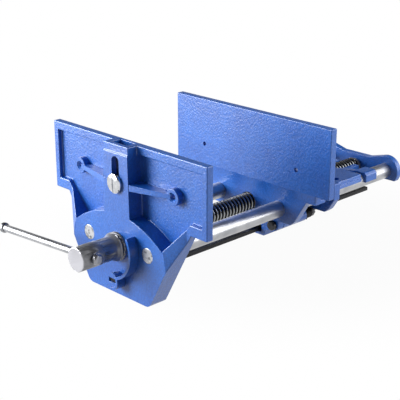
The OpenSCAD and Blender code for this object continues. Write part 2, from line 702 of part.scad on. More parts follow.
module fixed_jaw() {
    web_foot = 35;
    saddle_x = rod_x + saddle_out;
    saddle_z = rod_z + saddle_rise;
    saddle_bevel = 3;
    saddle_in = rod_x - rod_r - 3;
    bridge_y = face_y + saddle_end - saddle_l + 0.2;
    trough_z = screw_z + trough_rise;
    trough_low_z = screw_z - screw_r - 5;
    color(blue) difference() {
        union() {
            // jaw plate
            slab(face_y, face_y + rear_jaw_t) translate([-jaw_w / 2, jaw_rise - rear_jaw_h])
                square([jaw_w, rear_jaw_h]);
            // front web below the plate
            slab(web_y, web_y + web_t) union() {
                web_outline(84.5, -2.4, 67, web_foot);
                pivot_ear();
                polygon([
                    [-shoulder_half_w, jaw_rise - rear_jaw_h + 3], [shoulder_half_w, jaw_rise - rear_jaw_h + 3],
                    [shoulder_half_w, -shoulder_t], [-shoulder_half_w, -shoulder_t]
                ]);
            }
            // deck, with the wide shoulder behind the jaw and a filleted root
            translate([-deck_half_w, web_y + web_t / 2, -deck_t])
                cube([2 * deck_half_w, deck_l - web_t / 2 - 1, deck_lip]);
            translate([-deck_half_w + deck_step, web_y + web_t / 2, -deck_t + 1])
                cube([2 * (deck_half_w - deck_step), deck_l - web_t / 2 - 1, deck_t - 1]);
            translate([0, 0, -shoulder_t]) linear_extrude(shoulder_t) polygon([
                [-shoulder_half_w, web_y + web_t - 1], [shoulder_half_w, web_y + web_t - 1],
                [shoulder_half_w, face_y + shoulder_l - 8], [shoulder_half_w - 8, face_y + shoulder_l],
                [-shoulder_half_w + 8, face_y + shoulder_l], [-shoulder_half_w, face_y + shoulder_l - 8]
            ]);
            // middle web and rear wall
            slab(mid_y, mid_y + web_t) web_outline(deck_half_w + 1, -19.5, 65, web_foot + 1);
            slab(wall_end_y - web_t, wall_end_y) polygon([
                [-wall_half_w, -1], [wall_half_w, -1], [wall_half_w, screw_z - 2],
                [trough_half_w - 7, trough_low_z], [-trough_half_w + 7, trough_low_z],
                [-wall_half_w, screw_z - 2]
            ]);
            // trough that cradles the screw
            slab(wall_end_y - web_t, face_y + trough_end) polygon([
                [-trough_half_w, trough_z], [trough_half_w, trough_z], [trough_half_w, screw_z - 6],
                [trough_half_w - 7, trough_low_z], [-trough_half_w + 7, trough_low_z],
                [-trough_half_w, screw_z - 6]
            ]);
            // bridge from the trough out to the saddles, its top falling towards the screw
            slab(bridge_y, bridge_y + web_t - 2) polygon([
                [-rod_x, saddle_z - 0.3], [-trough_half_w, trough_z + 2.8], [0, trough_z],
                [trough_half_w, trough_z + 2.8], [rod_x, saddle_z - 0.3],
                [rod_x, rod_z - saddle_low + 0.2], [0, screw_z - 8], [-rod_x, rod_z - saddle_low + 0.2]
            ]);
            // saddles over the rods
            both_sides() slab(face_y + saddle_end - saddle_l, face_y + saddle_end) polygon([
                [saddle_in + 7, saddle_z], [saddle_x - saddle_bevel, saddle_z],
                [saddle_x, saddle_z - saddle_bevel], [saddle_x, rod_z - saddle_low],
                [saddle_in, rod_z - saddle_low], [saddle_in, saddle_z - 7]
            ]);
        }
        // bores for the rods, and clear ways for the screw
        both_sides() rod_y(rod_r + rod_clear, rod_x, rod_z, face_y - 1, rear_end_y + 1);
        rod_y(screw_r + screw_pass, 0, screw_z, face_y - 1, rear_end_y + 1);
        translate([-screw_r - screw_pass, wall_end_y, screw_z])
            cube([2 * (screw_r + screw_pass), trough_end, 20]);
        // pivot bolt, cheek screws and bench bolts
        rod_y(pivot_d / 2 + seat_clear, pivot_x, pivot_z, face_y - 1, web_y + web_t + 1);
        both_sides() rod_y(cheek_hole_d / 2, rear_hole_x, jaw_rise - rear_hole_drop, face_y - 1,
            face_y + rear_jaw_t + 1);
        for (sx = [-1, 1], sy = [-1, 1])
            translate([sx * bench_hole_x / 2, sy * bench_hole_y / 2 - bench_hole_set, -deck_t - 1])
                cylinder(d = bench_hole_d, h = deck_t + 2);
    }
}

module pivot_bolt() {
    shank_l = mid_y - 0.4 - web_y;
    bolt_l = shank_l + 8.2;
    end_r = pivot_end_d / 2;
    color(dark) translate([pivot_x, web_y, pivot_z]) rotate([-90, 0, 0]) rotate_extrude() polygon([
        [0, -pivot_head_t], [pivot_head_r - 1.2, -pivot_head_t], [pivot_head_r, -pivot_head_t + 1.2],
        [pivot_head_r, -0.1], [pivot_d / 2, -0.1], [pivot_d / 2, shank_l], [end_r, shank_l],
        [end_r, bolt_l - 1], [end_r - 1, bolt_l], [0, bolt_l]
    ]);
}

module pivot_nut() {
    nut_y = mid_y - 0.3;
    nut_h = 5;
    color(dark) difference() {
        rod_y6(pivot_end_d * 0.96, pivot_x, pivot_z, nut_y, nut_y + nut_h);
        rod_y(pivot_end_d / 2 + seat_clear, pivot_x, pivot_z, nut_y - 1, nut_y + nut_h + 1);
    }
}

// A hexagonal prism along Y
module rod_y6(r, x, z, y0, y1) {
    translate([x, y0, z]) rotate([-90, 0, 0]) cylinder(r = r, h = y1 - y0, $fn = 6);
}

// Cast arm that swings about the pivot bolt, with a seat for the half nut and a hook round the trip bar
module nut_carrier() {
    hook_low = trip_z - trip_t / 2 - hook_gap;
    hook_left = trip_x - trip_sweep_r - 2.5;
    hook_right = trip_x + trip_sweep_r + 2.5;
    color(blue) difference() {
        union() {
            rod_y(carrier_hub_r, pivot_x, pivot_z, carrier_y0, carrier_back_y);
            slab(carrier_y0 + 1, carrier_back_y - 1) polygon([
                [-nut_w / 2 - 3, seat_z], [nut_w / 2 + 3, seat_z], [pivot_x - 3, pivot_z + 4],
                [pivot_x, pivot_z - carrier_hub_r + 0.4], [hook_right + 6, trip_z + 1],
                [hook_right + carrier_hook_t, hook_low - carrier_hook_t],
                [hook_left - carrier_hook_t, hook_low - carrier_hook_t], [-nut_w / 2 - 3, trip_z + 2]
            ]);
        }
        slab(carrier_y0 - 1, carrier_y1 + 1) polygon([
            [hook_left, hook_low], [hook_right, hook_low], [hook_right, trip_z + 4.4],
            [hook_right - 3, trip_z + trip_sweep_r + 0.6], [hook_left + 2, trip_z + trip_sweep_r + 0.6],
            [hook_left, trip_z + 4.4]
        ]);
        rod_y(pivot_d / 2 + pivot_clear, pivot_x, pivot_z, carrier_y0 - 1, carrier_y1 + 1);
        for (s = [-1, 1]) translate([nut_screw_x, nut_mid_y + s * nut_l / 4, seat_z - carrier_floor])
            cylinder(d = nut_screw_d + 2 * seat_clear, h = carrier_floor + 1);
    }
}

// Partial nut below the screw, plain at the thread's outer size
module half_nut() {
    color(steel) difference() {
        translate([-nut_w / 2, nut_mid_y - nut_l / 2, nut_foot_z])
            cube([nut_w, nut_l, nut_top_z - nut_foot_z]);
        rod_y(screw_r + rod_clear, 0, screw_z, nut_mid_y - nut_l, nut_mid_y + nut_l);
        for (s = [-1, 1]) translate([nut_screw_x, nut_mid_y + s * nut_l / 4, nut_foot_z - 1])
            cylinder(d = nut_screw_d + 2 * seat_clear, h = screw_d);
    }
}

module half_nut_screws() {
    color(steel) for (s = [-1, 1])
        translate([nut_screw_x, nut_mid_y + s * nut_l / 4, seat_z - carrier_floor + 0.6])
            cylinder(d = nut_screw_d, h = carrier_floor + nut_t);
}

// Torsion spring: a helix about the pivot bolt with a straight leg at each end, one unbroken six-sided tube
function spring_point(t) = [
    pivot_x + spring_r * cos(360 * t),
    carrier_back_y + spring_end_gap + spring_wire / 2 + spring_pitch * t,
    pivot_z + spring_r * sin(360 * t)
];

module nut_spring() {
    path = concat(
        [spring_point(0) - [0, 0, spring_leg]],
        [for (i = [0:spring_count]) spring_point(i / spring_steps)],
        [spring_point(spring_turns) + [0, 0, spring_leg]]
    );
    rings = [for (i = [0:spring_count + 2])
        let (a = 360 * (i - 1) / spring_steps * (i > 0 && i < spring_count + 2 ? 1 : 0))
        for (k = [0:spring_sides - 1])
            let (b = 360 * k / spring_sides)
            path[i] + spring_wire / 2 * (cos(b) * [cos(a), 0, sin(a)] + sin(b) * [0, 1, 0])
    ];
    sides = [for (i = [0:spring_count + 1], k = [0:spring_sides - 1])
        let (a = i * spring_sides + k, b = i * spring_sides + (k + 1) % spring_sides)
        each [[a, b, a + spring_sides], [b, b + spring_sides, a + spring_sides]]
    ];
    last = (spring_count + 2) * spring_sides;
    caps = [for (k = [1:spring_sides - 2])
        each [[0, k + 1, k], [last, last + k, last + k + 1]]
    ];
    least_gap = spring_pitch - spring_wire;
    echo("least gap between the torsion spring's turns, mm", least_gap);
    color(dark) polyhedron(points = rings, faces = concat(sides, caps));
}

module rear_yoke() {
    waist_x = rod_x - 24.8;
    waist_z = rod_z + yoke_waist_rise;
    join_a = 15;
    join_x = rod_x - yoke_lobe_r * sin(join_a);
    join_z = rod_z + yoke_lobe_r * cos(join_a) - 0.05;
    belly_half_w = 9;
    belly_h = 5;
    color(blue) difference() {
        union() {
            both_sides() rod_y(yoke_lobe_r, rod_x, rod_z, yoke_front_y, yoke_back_y);
            slab(yoke_front_y, yoke_back_y) polygon([
                [-rod_x, join_z - 1], [-join_x, join_z], [-waist_x, waist_z], [waist_x, waist_z],
                [join_x, join_z], [rod_x, join_z - 1],
                [rod_x, yoke_foot_z - belly_h], [-rod_x, yoke_foot_z - belly_h]
            ]);
        }
        // flat underside, but for a belly below the screw's tail
        both_sides() translate([belly_half_w, yoke_front_y - 1, yoke_foot_z - far])
            cube([far, yoke_t + 2, far]);
        both_sides() rod_y(rod_r + seat_clear, rod_x, rod_z, yoke_front_y - 1, yoke_back_y + 1);
        both_sides() translate([rod_x, yoke_front_y + yoke_t / 2, yoke_foot_z - 1])
            cylinder(d = yoke_pin_d + 2 * seat_clear, h = yoke_low + 1);
        rod_y(tail_r + journal_clear, 0, screw_z, yoke_front_y - 1, yoke_back_y + 1);
    }
}

module yoke_pins() {
    pin_stub = 0.4;
    color(bright) both_sides() translate([rod_x, yoke_front_y + yoke_t / 2, yoke_foot_z - pin_stub])
        cylinder(d = yoke_pin_d, h = yoke_low + pin_stub + rod_r - 2);
}

fixed_jaw();
pivot_bolt();
pivot_nut();
nut_carrier();
half_nut();
half_nut_screws();
nut_spring();
front_jaw();
guide_rod_left();
guide_rod_right();
rear_yoke();
yoke_pins();
main_screw();
thrust_collar();
collar_pin();
tommy_bar();
bar_knob_left();
bar_knob_right();
release_lever();
trip_bar();
lever_pin();
trip_bar_pin();
dog();
dog_screw();
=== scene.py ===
import json
import math

import bmesh
import bpy
import numpy as np
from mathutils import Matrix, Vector


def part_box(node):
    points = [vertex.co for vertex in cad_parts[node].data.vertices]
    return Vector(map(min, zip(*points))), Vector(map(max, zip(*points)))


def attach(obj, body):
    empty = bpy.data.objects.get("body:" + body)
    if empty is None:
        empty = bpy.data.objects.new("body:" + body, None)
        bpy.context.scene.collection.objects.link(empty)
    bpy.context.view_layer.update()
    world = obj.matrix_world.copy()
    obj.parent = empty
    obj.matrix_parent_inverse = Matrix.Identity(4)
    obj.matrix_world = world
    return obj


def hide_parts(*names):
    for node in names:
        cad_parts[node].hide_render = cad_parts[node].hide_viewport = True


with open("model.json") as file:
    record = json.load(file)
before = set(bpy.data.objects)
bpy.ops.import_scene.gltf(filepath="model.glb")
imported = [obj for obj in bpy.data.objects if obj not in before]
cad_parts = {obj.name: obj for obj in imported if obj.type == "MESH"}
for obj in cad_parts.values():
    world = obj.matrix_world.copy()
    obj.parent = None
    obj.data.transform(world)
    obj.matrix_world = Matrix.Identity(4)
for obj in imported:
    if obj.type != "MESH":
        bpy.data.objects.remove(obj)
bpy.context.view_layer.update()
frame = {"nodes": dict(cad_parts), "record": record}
nodes = frame["nodes"]
bodyOf = {n: body for body, members in frame["record"]["behaviour"]["bodies"].items() for n in members}
scene = bpy.context.scene
scene.view_settings.view_transform = "Standard"

# Places and radii shared by several pieces, in metres, as in the part's source
vise = {
    "screwZ": -0.0225, "headY": -0.3073, "journalRadius": 0.0112, "hubY": -0.2548,
    "rodX": 0.04485, "rodZ": -0.0202, "rodRadius": 0.0092, "rodEndRadius": 0.0080,
}


def placeObject(name, data):
    thing = bpy.data.objects.new(name, data)
    scene.collection.objects.link(thing)
    return thing


def facing(direction):
    # the rotation of a camera or lamp that looks along a direction
    return Vector(direction).to_track_quat("-Z", "Y").to_euler()


# Camera at the photo's viewing angle, worked out for a square frame
cameraSettings = {"place": (0.7200, -0.8413, 0.3552), "azimuth": 45.74, "elevation": 19.59,
                  "lens": 89.94, "sensor": 36, "clip": (0.01, 50)}


def makeCamera(settings):
    azimuth, elevation = math.radians(settings["azimuth"]), math.radians(settings["elevation"])
    level = math.cos(elevation)
    forward = (-math.sin(azimuth) * level, math.cos(azimuth) * level, -math.sin(elevation))
    data = bpy.data.cameras.new("photoCamera")
    data.lens, data.sensor_width = settings["lens"], settings["sensor"]
    data.clip_start, data.clip_end = settings["clip"]
    camera = placeObject("photoCamera", data)
    camera.location = settings["place"]
    camera.rotation_euler = facing(forward)
    scene.camera = camera


makeCamera(cameraSettings)


# Node helpers
def linear(code):
    # an sRGB hex value as opaque linear light
    c = np.array([int(code[i:i + 2], 16) for i in (1, 3, 5)]) / 255
    c = np.where(c <= 0.04045, c / 12.92, ((c + 0.055) / 1.055) ** 2.4)
    return (*c.tolist(), 1.0)


def perMetre(sizeMm):
    # a pattern's scale from the real size of its mark
    return 1000 / sizeMm


def join(tree, node, links):
    # links go by the name or the place of the node's own sockets
    for key, source in links.items():
        tree.links.new(source, node.inputs[key])


def addNode(tree, kind, settings=None, links=None, stops=()):
    # settings go by property or socket, and a colour ramp's stops are (place, sRGB hex)
    node = tree.nodes.new(kind)
    for key, value in (settings or {}).items():
        if isinstance(key, str) and key in node.bl_rna.properties:
            setattr(node, key, value)
        else:
            node.inputs[key].default_value = value
    join(tree, node, links or {})
    if stops:
        elements = node.color_ramp.elements
        while len(elements) < len(stops):
            elements.new(0.5)
        for element, (place, code) in zip(elements, stops):
            element.position, element.color = place, linear(code)
    return node


# a colour Mix node holds its two colours and its result at these places
mixFirst, mixSecond, mixResult = 6, 7, 2


def emptyTree(owner):
    # the cleared node tree of a material or a world
    owner.use_nodes = True
    owner.node_tree.nodes.clear()
    return owner.node_tree


def newMaterial(name, shaderValues):
    # a Principled material with its constant values on the shader's own sockets
    material = bpy.data.materials.new(name)
    tree = emptyTree(material)
    shader = addNode(tree, "ShaderNodeBsdfPrincipled", shaderValues)
    addNode(tree, "ShaderNodeOutputMaterial", links={"Surface": shader.outputs[0]})
    coords = addNode(tree, "ShaderNodeTexCoord").outputs["Object"]
    return material, tree, shader, coords


# Materials
enamelSettings = {
    "light": "#1a64bf", "mid": "#165bb4", "deep": "#1352a9", "blotchMm": 30.0,
    # the crown tint is a painted highlight on each pebble's crown, the seam tint painted shade in the seams
    # between pebbles
    "pebbleMm": 2.1, "pebbleHighMm": 0.5, "crownHighlightTint": 1.12, "seamShadeTint": 0.88,
    "grainMm": 1.5, "grainHighMm": 0.2, "fleckTint": (0.90, 1.12), "roughness": (0.33, 0.48),
}


def hammeredEnamel(settings):
    # hammer-finish stoving enamel sprayed on rough cast iron: saturated blue, softly glossy and pebbled
    material, tree, shader, coords = newMaterial("hammeredBlueEnamel", {
        "Metallic": 0.0, "IOR": 1.5, "Specular IOR Level": 0.5,
        "Coat Weight": 0.5, "Coat Roughness": 0.27, "Coat IOR": 1.5})
    blotch = addNode(tree, "ShaderNodeTexNoise",
                     {"Scale": perMetre(settings["blotchMm"]), "Detail": 4.0, "Roughness": 0.6},
                     {"Vector": coords})
    colour = addNode(tree, "ShaderNodeValToRGB", links={0: blotch.outputs["Fac"]},
                     stops=[(0.25, settings["deep"]), (0.5, settings["mid"]), (0.78, settings["light"])])
    pebble = addNode(tree, "ShaderNodeTexVoronoi",
                     {"feature": "SMOOTH_F1", "Scale": perMetre(settings["pebbleMm"]), "Smoothness": 0.8},
                     {"Vector": coords})
    grain = addNode(tree, "ShaderNodeTexNoise", {"Scale": perMetre(settings["grainMm"]), "Detail": 3.0},
                    {"Vector": coords})
    # painted highlight and shade: each pebble is a little paler on its crown and a little darker in the seams
    # between pebbles
    pebbleShading = addNode(tree, "ShaderNodeMapRange",
                    {"From Max": 0.75, "To Min": settings["crownHighlightTint"], "To Max": settings["seamShadeTint"]},
                    {"Value": pebble.outputs["Distance"]})
    dark, pale = settings["fleckTint"]
    fleck = addNode(tree, "ShaderNodeMapRange",
                    {"From Min": 0.35, "From Max": 0.65, "To Min": dark, "To Max": pale},
                    {"Value": grain.outputs["Fac"]})
    tint = addNode(tree, "ShaderNodeMath", {"operation": "MULTIPLY"},
                   {0: pebbleShading.outputs[0], 1: fleck.outputs[0]})
    pebbled = addNode(tree, "ShaderNodeVectorMath", {"operation": "SCALE"},
                      {0: colour.outputs["Color"], "Scale": tint.outputs[0]})
    smooth, dull = settings["roughness"]
    rough = addNode(tree, "ShaderNodeMapRange", {"To Min": smooth, "To Max": dull},
                    {"Value": grain.outputs["Fac"]})
    low = addNode(tree, "ShaderNodeBump",
                  {"Strength": 0.4, "Distance": settings["pebbleHighMm"] / 1000, "invert": True},
                  {"Height": pebble.outputs["Distance"]})
    fine = addNode(tree, "ShaderNodeBump", {"Strength": 0.4, "Distance": settings["grainHighMm"] / 1000},
                   {"Height": grain.outputs["Fac"], "Normal": low.outputs[0]})
    join(tree, shader, {"Base Color": pebbled.outputs[0], "Roughness": rough.outputs[0],
                        "Normal": fine.outputs[0], "Coat Normal": low.outputs[0]})
    return material


groundSettings = {
    "tone": "#b9babd", "shade": "#a4a6aa", "filed": "#cfd0d3", "mark": "#7c7e83",
    "ringMm": 0.8, "ringHighMm": 0.03, "roundMm": 25, "smearMm": 16, "fileMm": 3.2, "filedDepth": 0.0004,
    "roughness": (0.30, 0.38),
}


def groundSteel(settings):
    # centreless-ground bright steel: fine rings round the bar, a few long faint smears
    # the rings are really about a tenth of a millimetre apart, and drawn coarser so that they show
    material, tree, shader, coords = newMaterial("groundSteel", {"Metallic": 0.88, "Anisotropic": 0.35})
    across = perMetre(settings["roundMm"])
    rings = addNode(tree, "ShaderNodeMapping", {"Scale": (across, perMetre(settings["ringMm"]), across)},
                    {"Vector": coords})
    marks = addNode(tree, "ShaderNodeTexNoise", {"Scale": 1.0, "Detail": 3.0, "Roughness": 0.7},
                    {"Vector": rings.outputs[0]})
    smear = addNode(tree, "ShaderNodeTexNoise", {"Scale": perMetre(settings["smearMm"]), "Detail": 5.0},
                    {"Vector": coords})
    tone = addNode(tree, "ShaderNodeValToRGB", links={0: smear.outputs["Fac"]},
                   stops=[(0.35, settings["shade"]), (0.6, settings["tone"])])
    # the rods' front ends, flush in the casting, are filed and marked
    file = addNode(tree, "ShaderNodeTexNoise", {"Scale": perMetre(settings["fileMm"]), "Detail": 3.0},
                   {"Vector": coords})
    filed = addNode(tree, "ShaderNodeValToRGB", links={0: file.outputs["Fac"]},
                    stops=[(0.38, settings["mark"]), (0.52, settings["filed"])])
    along = addNode(tree, "ShaderNodeSeparateXYZ", links={0: coords}).outputs[1]
    atEnd = addNode(tree, "ShaderNodeMath",
                    {"operation": "COMPARE", 1: vise["hubY"], 2: settings["filedDepth"]}, {0: along})
    mixed = addNode(tree, "ShaderNodeMix", {"data_type": "RGBA"},
                    {0: atEnd.outputs[0], mixFirst: tone.outputs["Color"], mixSecond: filed.outputs["Color"]})
    smooth, dull = settings["roughness"]
    rough = addNode(tree, "ShaderNodeMapRange", {"To Min": smooth, "To Max": dull},
                    {"Value": marks.outputs["Fac"]})
    bump = addNode(tree, "ShaderNodeBump", {"Strength": 0.03, "Distance": settings["ringHighMm"] / 1000},
                   {"Height": marks.outputs["Fac"]})
    join(tree, shader, {"Base Color": mixed.outputs[mixResult], "Roughness": rough.outputs[0],
                        "Normal": bump.outputs[0]})
    return material


turnedSettings = {
    "bright": "#98999d", "dull": "#7c7d82", "face": "#bfbfc5", "stainMm": 11.1,
    "pitchMm": 0.7, "pitchHighMm": 0.05, "facedFrom": 0.0002, "facedTo": 0.0009, "roughness": (0.26, 0.40),
}


def turnedSteel(settings):
    # lathe-turned steel with a dull film: rings about its axis on the end faces, rings along it on the sides
    # the tool's marks are really about 0.2 mm apart, and drawn coarser so that they show
    material, tree, shader, coords = newMaterial("turnedScrewSteel", {"Metallic": 0.5})
    centred = addNode(tree, "ShaderNodeMapping", {"Location": (0, 0, -vise["screwZ"])}, {"Vector": coords})
    parts = addNode(tree, "ShaderNodeSeparateXYZ", links={0: centred.outputs[0]})
    flat = addNode(tree, "ShaderNodeCombineXYZ", links={0: parts.outputs[0], 2: parts.outputs[2]})
    radius = addNode(tree, "ShaderNodeVectorMath", {"operation": "LENGTH"}, {0: flat.outputs[0]})
    rings = addNode(tree, "ShaderNodeCombineXYZ", links={0: radius.outputs["Value"], 1: parts.outputs[1]})
    marks = addNode(tree, "ShaderNodeTexNoise", {"Scale": perMetre(settings["pitchMm"]), "Detail": 2.0},
                    {"Vector": rings.outputs[0]})
    stain = addNode(tree, "ShaderNodeTexNoise", {"Scale": perMetre(settings["stainMm"]), "Detail": 4.0},
                    {"Vector": coords})
    tone = addNode(tree, "ShaderNodeValToRGB", links={0: stain.outputs["Fac"]},
                   stops=[(0.3, settings["dull"]), (0.62, settings["bright"])])
    # the faced outer end is rubbed bright
    faced = addNode(tree, "ShaderNodeMapRange",
                    {"From Min": vise["headY"] + settings["facedFrom"],
                     "From Max": vise["headY"] + settings["facedTo"], "To Min": 1.0, "To Max": 0.0},
                    {"Value": parts.outputs[1]})
    mixed = addNode(tree, "ShaderNodeMix", {"data_type": "RGBA", mixSecond: linear(settings["face"])},
                    {0: faced.outputs[0], mixFirst: tone.outputs["Color"]})
    smooth, dull = settings["roughness"]
    rough = addNode(tree, "ShaderNodeMapRange", {"To Min": smooth, "To Max": dull},
                    {"Value": marks.outputs["Fac"]})
    bump = addNode(tree, "ShaderNodeBump", {"Strength": 0.2, "Distance": settings["pitchHighMm"] / 1000},
                   {"Height": marks.outputs["Fac"]})
    join(tree, shader, {"Base Color": mixed.outputs[mixResult], "Roughness": rough.outputs[0],
                        "Normal": bump.outputs[0]})
    return material


oiledSettings = {"rootTone": "#1b1917", "flank": "#474747", "crest": "#989a9b", "mottleMm": 6.25,
                 "mottleBlur": (0.35, -0.17), "roughness": (0.2, 0.42)}


def oiledThread(settings):
    # cut thread with a film of oil: darker towards the roots and paler towards the crests, with a cloudy edge
    # between
    material, tree, shader, coords = newMaterial("oiledThread", {"Metallic": 1.0})
    crest = addNode(tree, "ShaderNodeAttribute", {"attribute_name": "crest"}).outputs["Fac"]
    mottle = addNode(tree, "ShaderNodeTexNoise", {"Scale": perMetre(settings["mottleMm"]), "Detail": 4.0},
                     {"Vector": coords})
    spread, offset = settings["mottleBlur"]
    blur = addNode(tree, "ShaderNodeMath", {"operation": "MULTIPLY_ADD", 1: spread, 2: offset},
                   {0: mottle.outputs["Fac"]})
    height = addNode(tree, "ShaderNodeMath", {"operation": "ADD"}, {0: crest, 1: blur.outputs[0]})
    tone = addNode(tree, "ShaderNodeValToRGB", links={0: height.outputs[0]},
                   stops=[(0.15, settings["rootTone"]), (0.6, settings["flank"]), (0.9, settings["crest"])])
    worn, oily = settings["roughness"]
    rough = addNode(tree, "ShaderNodeMapRange", {"To Min": oily, "To Max": worn},
                    {"Value": height.outputs[0]})
    join(tree, shader, {"Base Color": tone.outputs["Color"], "Roughness": rough.outputs[0]})
    return material


cloudedSettings = {
    # chrome plate on a polished screw: nearly a mirror, with the faintest clouding
    "chrome": {"name": "chromePlate", "bright": "#dfe0e3", "dull": "#c4c6ca", "roughness": (0.06, 0.16),
               "cloudMm": 7.0},
    # bright zinc plate on small fasteners: pale grey and satin
    "zinc": {"name": "zincPlate", "bright": "#b4b6b4", "dull": "#8e908d", "roughness": (0.3, 0.46),
             "cloudMm": 3.5},
    # black oxide on a machined bolt: dark grey with a dull gleam
    "blackBolt": {"name": "blackOxideBolt", "bright": "#4a4a4d", "dull": "#28282b", "roughness": (0.28, 0.42),
                  "cloudMm": 2.5},
    # drawn spring wire, blacked in oil: darker than the bolt, with a thin film of oil
    "spring": {"name": "oilBlackedWire", "bright": "#3a3b3d", "dull": "#1d1e20", "roughness": (0.3, 0.42),
               "cloudMm": 2.0},
    # knobs turned from bright bar: mid grey, handled to a soft gleam
    "knob": {"name": "turnedKnobSteel", "bright": "#a2a3a7", "dull": "#7d7e83", "roughness": (0.28, 0.42),
             "cloudMm": 3.0},
    # milled steel with a film of oil: mid grey, a little patchy
    "machined": {"name": "machinedSteel", "bright": "#8d8e90", "dull": "#6a6b6d", "roughness": (0.28, 0.42),
                 "cloudMm": 2.5},
}


def cloudedMetal(settings, reliefMm=0.03):
    # a metal whose tone, roughness and faint relief all follow one cloudy pattern
    material, tree, shader, coords = newMaterial(settings["name"], {"Metallic": 1.0})
    cloud = addNode(tree, "ShaderNodeTexNoise",
                    {"Scale": perMetre(settings["cloudMm"]), "Detail": 5.0, "Roughness": 0.65},
                    {"Vector": coords})
    tone = addNode(tree, "ShaderNodeValToRGB", links={0: cloud.outputs["Fac"]},
                   stops=[(0.3, settings["dull"]), (0.65, settings["bright"])])
    smooth, dull = settings["roughness"]
    rough = addNode(tree, "ShaderNodeMapRange", {"To Min": smooth, "To Max": dull},
                    {"Value": cloud.outputs["Fac"]})
    bump = addNode(tree, "ShaderNodeBump", {"Strength": 0.25, "Distance": reliefMm / 1000},
                   {"Height": cloud.outputs["Fac"]})
    join(tree, shader, {"Base Color": tone.outputs["Color"], "Roughness": rough.outputs[0],
                        "Normal": bump.outputs[0]})
    return material


flatBarSettings = {"deep": "#0b0b0d", "rubbed": "#26272b", "lineMm": 1.11, "runMm": 40, "lineHighMm": 0.05,
                   "roughness": (0.3, 0.5)}


def blackenedBar(settings):
    # hot-rolled flat bar, blackened and oiled: near black, with paler draw lines along its length
    material, tree, shader, coords = newMaterial("blackenedBar", {"Metallic": 0.55})
    across = perMetre(settings["lineMm"])
    stretched = addNode(tree, "ShaderNodeMapping", {"Scale": (across, perMetre(settings["runMm"]), across)},
                        {"Vector": coords})
    lines = addNode(tree, "ShaderNodeTexNoise", {"Scale": 1.0, "Detail": 4.0},
                    {"Vector": stretched.outputs[0]})
    tone = addNode(tree, "ShaderNodeValToRGB", links={0: lines.outputs["Fac"]},
                   stops=[(0.35, settings["deep"]), (0.75, settings["rubbed"])])
    smooth, dull = settings["roughness"]
    rough = addNode(tree, "ShaderNodeMapRange", {"To Min": smooth, "To Max": dull},
                    {"Value": lines.outputs["Fac"]})
    bump = addNode(tree, "ShaderNodeBump", {"Strength": 0.2, "Distance": settings["lineHighMm"] / 1000},
                   {"Height": lines.outputs["Fac"]})
    join(tree, shader, {"Base Color": tone.outputs["Color"], "Roughness": rough.outputs[0],
                        "Normal": bump.outputs[0]})
    return material


finish = {
    "enamel": hammeredEnamel(enamelSettings), "ground": groundSteel(groundSettings),
    "screw": turnedSteel(turnedSettings), "thread": oiledThread(oiledSettings),
    **{key: cloudedMetal(settings) for key, settings in cloudedSettings.items()},
    "black": blackenedBar(flatBarSettings),
}
print("materials made,", len(finish))


# Mesh helpers
def settle(piece, node, finishName):
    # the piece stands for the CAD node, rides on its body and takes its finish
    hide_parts(node)
    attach(piece, bodyOf[node])
    piece.data.materials.clear()
    piece.data.materials.append(finish[finishName])


def smoothShade(mesh, sharpAngle):
    # smooth but for edges that turn by more than an angle in degrees
    mesh.shade_smooth()
    mesh.set_sharp_from_angle(angle=math.radians(sharpAngle))


def roundEdges(piece, settings):
    # a live Bevel of one width, by settings named as the modifier's own
    bevel = piece.modifiers.new("edges", "BEVEL")
    for key, value in settings.items():
        setattr(bevel, key, value)
    bevel.harden_normals = True


def openEdges(work):
    return [e for e in work.edges if e.is_boundary]


def cleanMesh(mesh, mergeDistance=1e-7, closeEnds=False):
    # doubles and slivers go, open ends are closed if asked, and faces point outwards
    work = bmesh.new()
    work.from_mesh(mesh)
    bmesh.ops.remove_doubles(work, verts=work.verts, dist=mergeDistance)
    bmesh.ops.dissolve_degenerate(work, edges=work.edges, dist=mergeDistance / 10)
    if closeEnds:
        bmesh.ops.holes_fill(work, edges=openEdges(work), sides=0)
    bmesh.ops.recalc_face_normals(work, faces=work.faces)
    work.to_mesh(mesh)
    work.free()


def meshObject(name, vertices, faces, sharpAngle=38):
    mesh = bpy.data.meshes.new(name)
    mesh.from_pydata(vertices.tolist(), [], faces.tolist())
    cleanMesh(mesh)
    smoothShade(mesh, sharpAngle)
    return placeObject(name, mesh)


def gridFaces(rows, columns):
    # quads between the points of a grid laid out row after row, the columns closed into a ring
    r = np.arange(rows - 1)[:, None]
    c = np.arange(columns)[None, :]
    n = (c + 1) % columns
    return np.stack([r * columns + c, r * columns + n, (r + 1) * columns + n, (r + 1) * columns + c],
                    axis=-1).reshape(-1, 4)


def roundCorners(points, reach, steps=4, mostOfSide=0.45):
    # each inner corner becomes the quadratic curve, drawn towards the corner, between two points on its sides
    # that lie the reach away from it, or a share of the side where that is less
    points = np.array(points, float)
    corner = points[1:-1, None]
    curveEnds = []
    for other in (points[:-2, None], points[2:, None]):
        side = other - corner
        share = np.minimum(reach / np.linalg.norm(side, axis=-1, keepdims=True), mostOfSide)
        curveEnds.append(corner + side * share)
    t = np.linspace(0, 1, steps + 1)[None, :, None]
    curves = (1 - t) ** 2 * curveEnds[0] + 2 * t * (1 - t) * corner + t ** 2 * curveEnds[1]
    return np.concatenate([points[:1], curves.reshape(-1, 2), points[-1:]])


